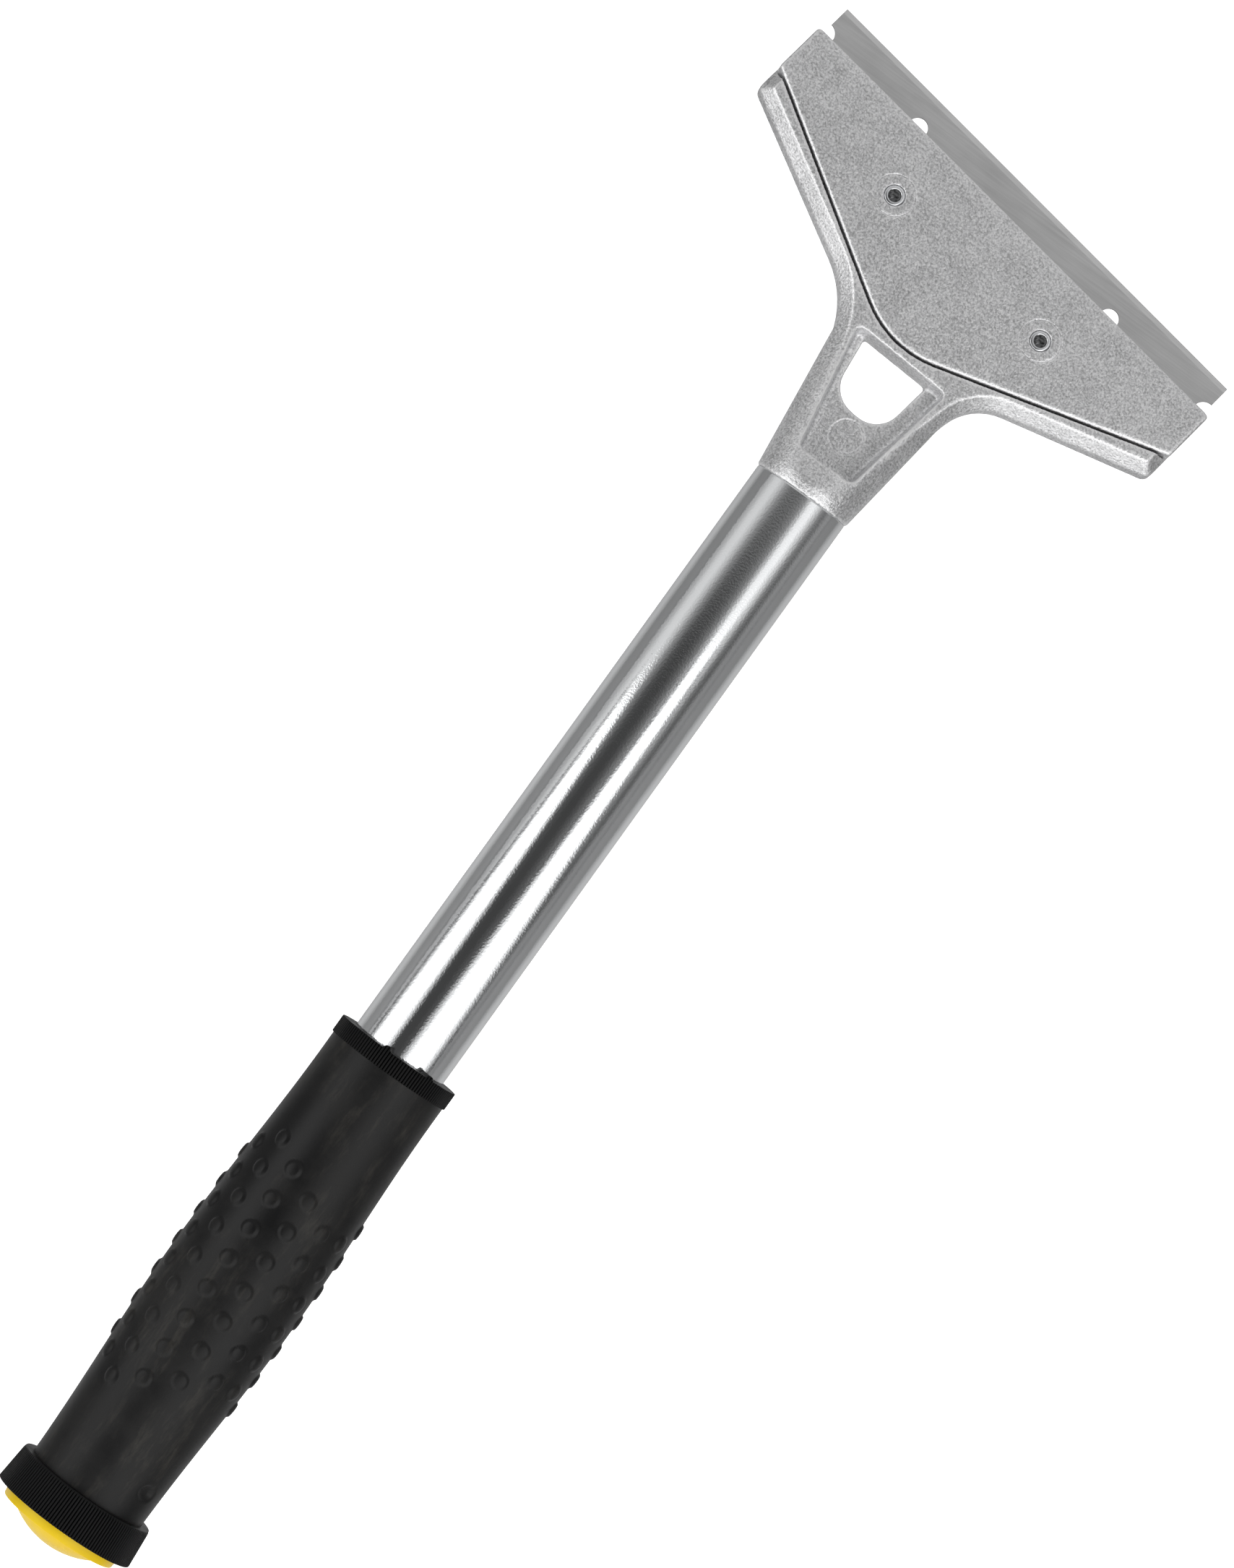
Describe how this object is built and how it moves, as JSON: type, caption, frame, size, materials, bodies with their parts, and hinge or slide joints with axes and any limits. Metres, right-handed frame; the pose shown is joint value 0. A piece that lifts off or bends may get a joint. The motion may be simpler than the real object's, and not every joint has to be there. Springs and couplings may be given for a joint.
{
  "type": "floor scraper",
  "caption": "Hand floor scraper: cast alloy head clamping a wide thin blade under a screwed plate, on a chromed tube handle with a rubber grip and a domed end cap.",
  "frame": {"origin": "on the handle's axis, where the tube's end meets the shoulder of the cast head", "axes": "+Y along the handle towards the head, +Z square to the handle out of the clamp plate's side, +X to the right of that view"},
  "size_m": [0.1034, 0.3172, 0.0395],
  "materials": {
    "cast_alloy": "die-cast, fine grained and slightly sparkling",
    "blade_steel": "fine satin with ground edges",
    "zinc_steel": "bright zinc plated",
    "chromed_tube": "polished chrome plate",
    "grip_rubber": "matt charcoal rubber",
    "black_plastic": "satin moulded",
    "yellow_plastic": "glossy moulded"
  },
  "bodies": {
    "frame": {"head_frame": "cast_alloy", "handle_tube": "chromed_tube", "spigot_rivet": "zinc_steel", "front_collar": "black_plastic", "grip_core": "black_plastic", "grip_sleeve": "grip_rubber", "end_ring": "black_plastic", "tail_bush": "black_plastic", "end_cap": "yellow_plastic", "flat_washer_left": "zinc_steel", "flat_washer_right": "zinc_steel", "spring_washer_left": "zinc_steel", "spring_washer_right": "zinc_steel"},
    "clamp_plate": {"clamp_plate": "cast_alloy"},
    "blade": {"blade": "blade_steel"},
    "screw_left": {"screw_stud_left": "zinc_steel", "screw_wing_left": "black_plastic"},
    "screw_right": {"screw_stud_right": "zinc_steel", "screw_wing_right": "black_plastic"}
  },
  "joints": [
    {"name": "screw_left_turn", "type": "hinge", "parent": "frame", "child": "screw_left", "pos_m": [-0.01851, 0.05469, -0.00747], "axis": [-0.0281, -0.1714, -0.9848], "range_deg": [0, 720]},
    {"name": "screw_right_turn", "type": "hinge", "parent": "frame", "child": "screw_right", "pos_m": [0.01909, 0.04853, -0.00747], "axis": [-0.0281, -0.1714, -0.9848], "range_deg": [0, 720]},
    {"name": "plate_lift", "type": "slide", "parent": "frame", "child": "clamp_plate", "axis": [0.0281, 0.1714, 0.9848], "range_m": [0, 0.0014]},
    {"name": "blade_slide", "type": "slide", "parent": "frame", "child": "blade", "axis": [0.1591, 0.9719, -0.1736], "range_m": [0, 0.01]}
  ],
  "couplings": [
    {"joint": "screw_left_turn", "follows": "plate_lift", "rad_per_m": 8976},
    {"joint": "screw_right_turn", "follows": "plate_lift", "rad_per_m": 8976}
  ]
}
